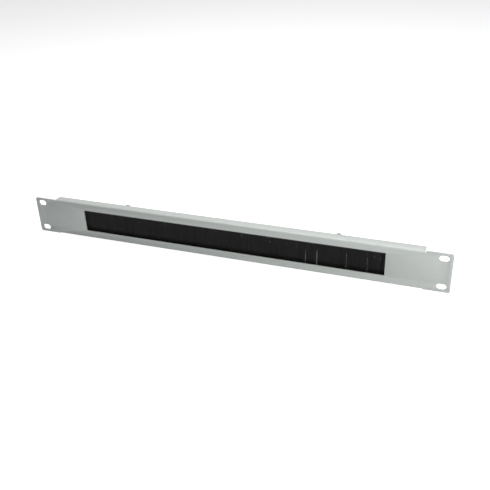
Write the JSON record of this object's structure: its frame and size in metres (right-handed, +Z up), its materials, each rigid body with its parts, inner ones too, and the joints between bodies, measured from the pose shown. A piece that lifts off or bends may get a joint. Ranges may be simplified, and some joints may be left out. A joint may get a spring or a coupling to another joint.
{
  "type": "rack brush strip panel",
  "caption": "Folded steel rack panel, one rack unit high, with slotted ears and a long cable window closed by a hanging row of black bristles.",
  "frame": {"origin": "centre of the four rack slots, on the rear face of the sheet, where the ears meet the rack's rails", "axes": "+X along the panel to the right as seen from the front, +Y to the rear along the mounting screws, +Z up"},
  "size_m": [0.4826, 0.0175, 0.0436],
  "materials": {
    "powder_coat": "light grey satin powder coat with a fine texture",
    "bar_plastic": "black moulded plastic, matt",
    "bristle": "black nylon filament",
    "anchor_wire": "flat drawn wire",
    "zinc_plate": "bright zinc plate"
  },
  "bodies": {
    "root": {"panel": "powder_coat", "left_weld_stud": "zinc_plate", "right_weld_stud": "zinc_plate", "brush_bar": "bar_plastic", "front_tufts": "bristle", "rear_tufts": "bristle", "front_tuft_anchors": "anchor_wire", "rear_tuft_anchors": "anchor_wire", "left_washer": "zinc_plate", "right_washer": "zinc_plate", "left_spring_washer": "zinc_plate", "right_spring_washer": "zinc_plate", "left_nut": "zinc_plate", "right_nut": "zinc_plate"}
  },
  "joints": []
}
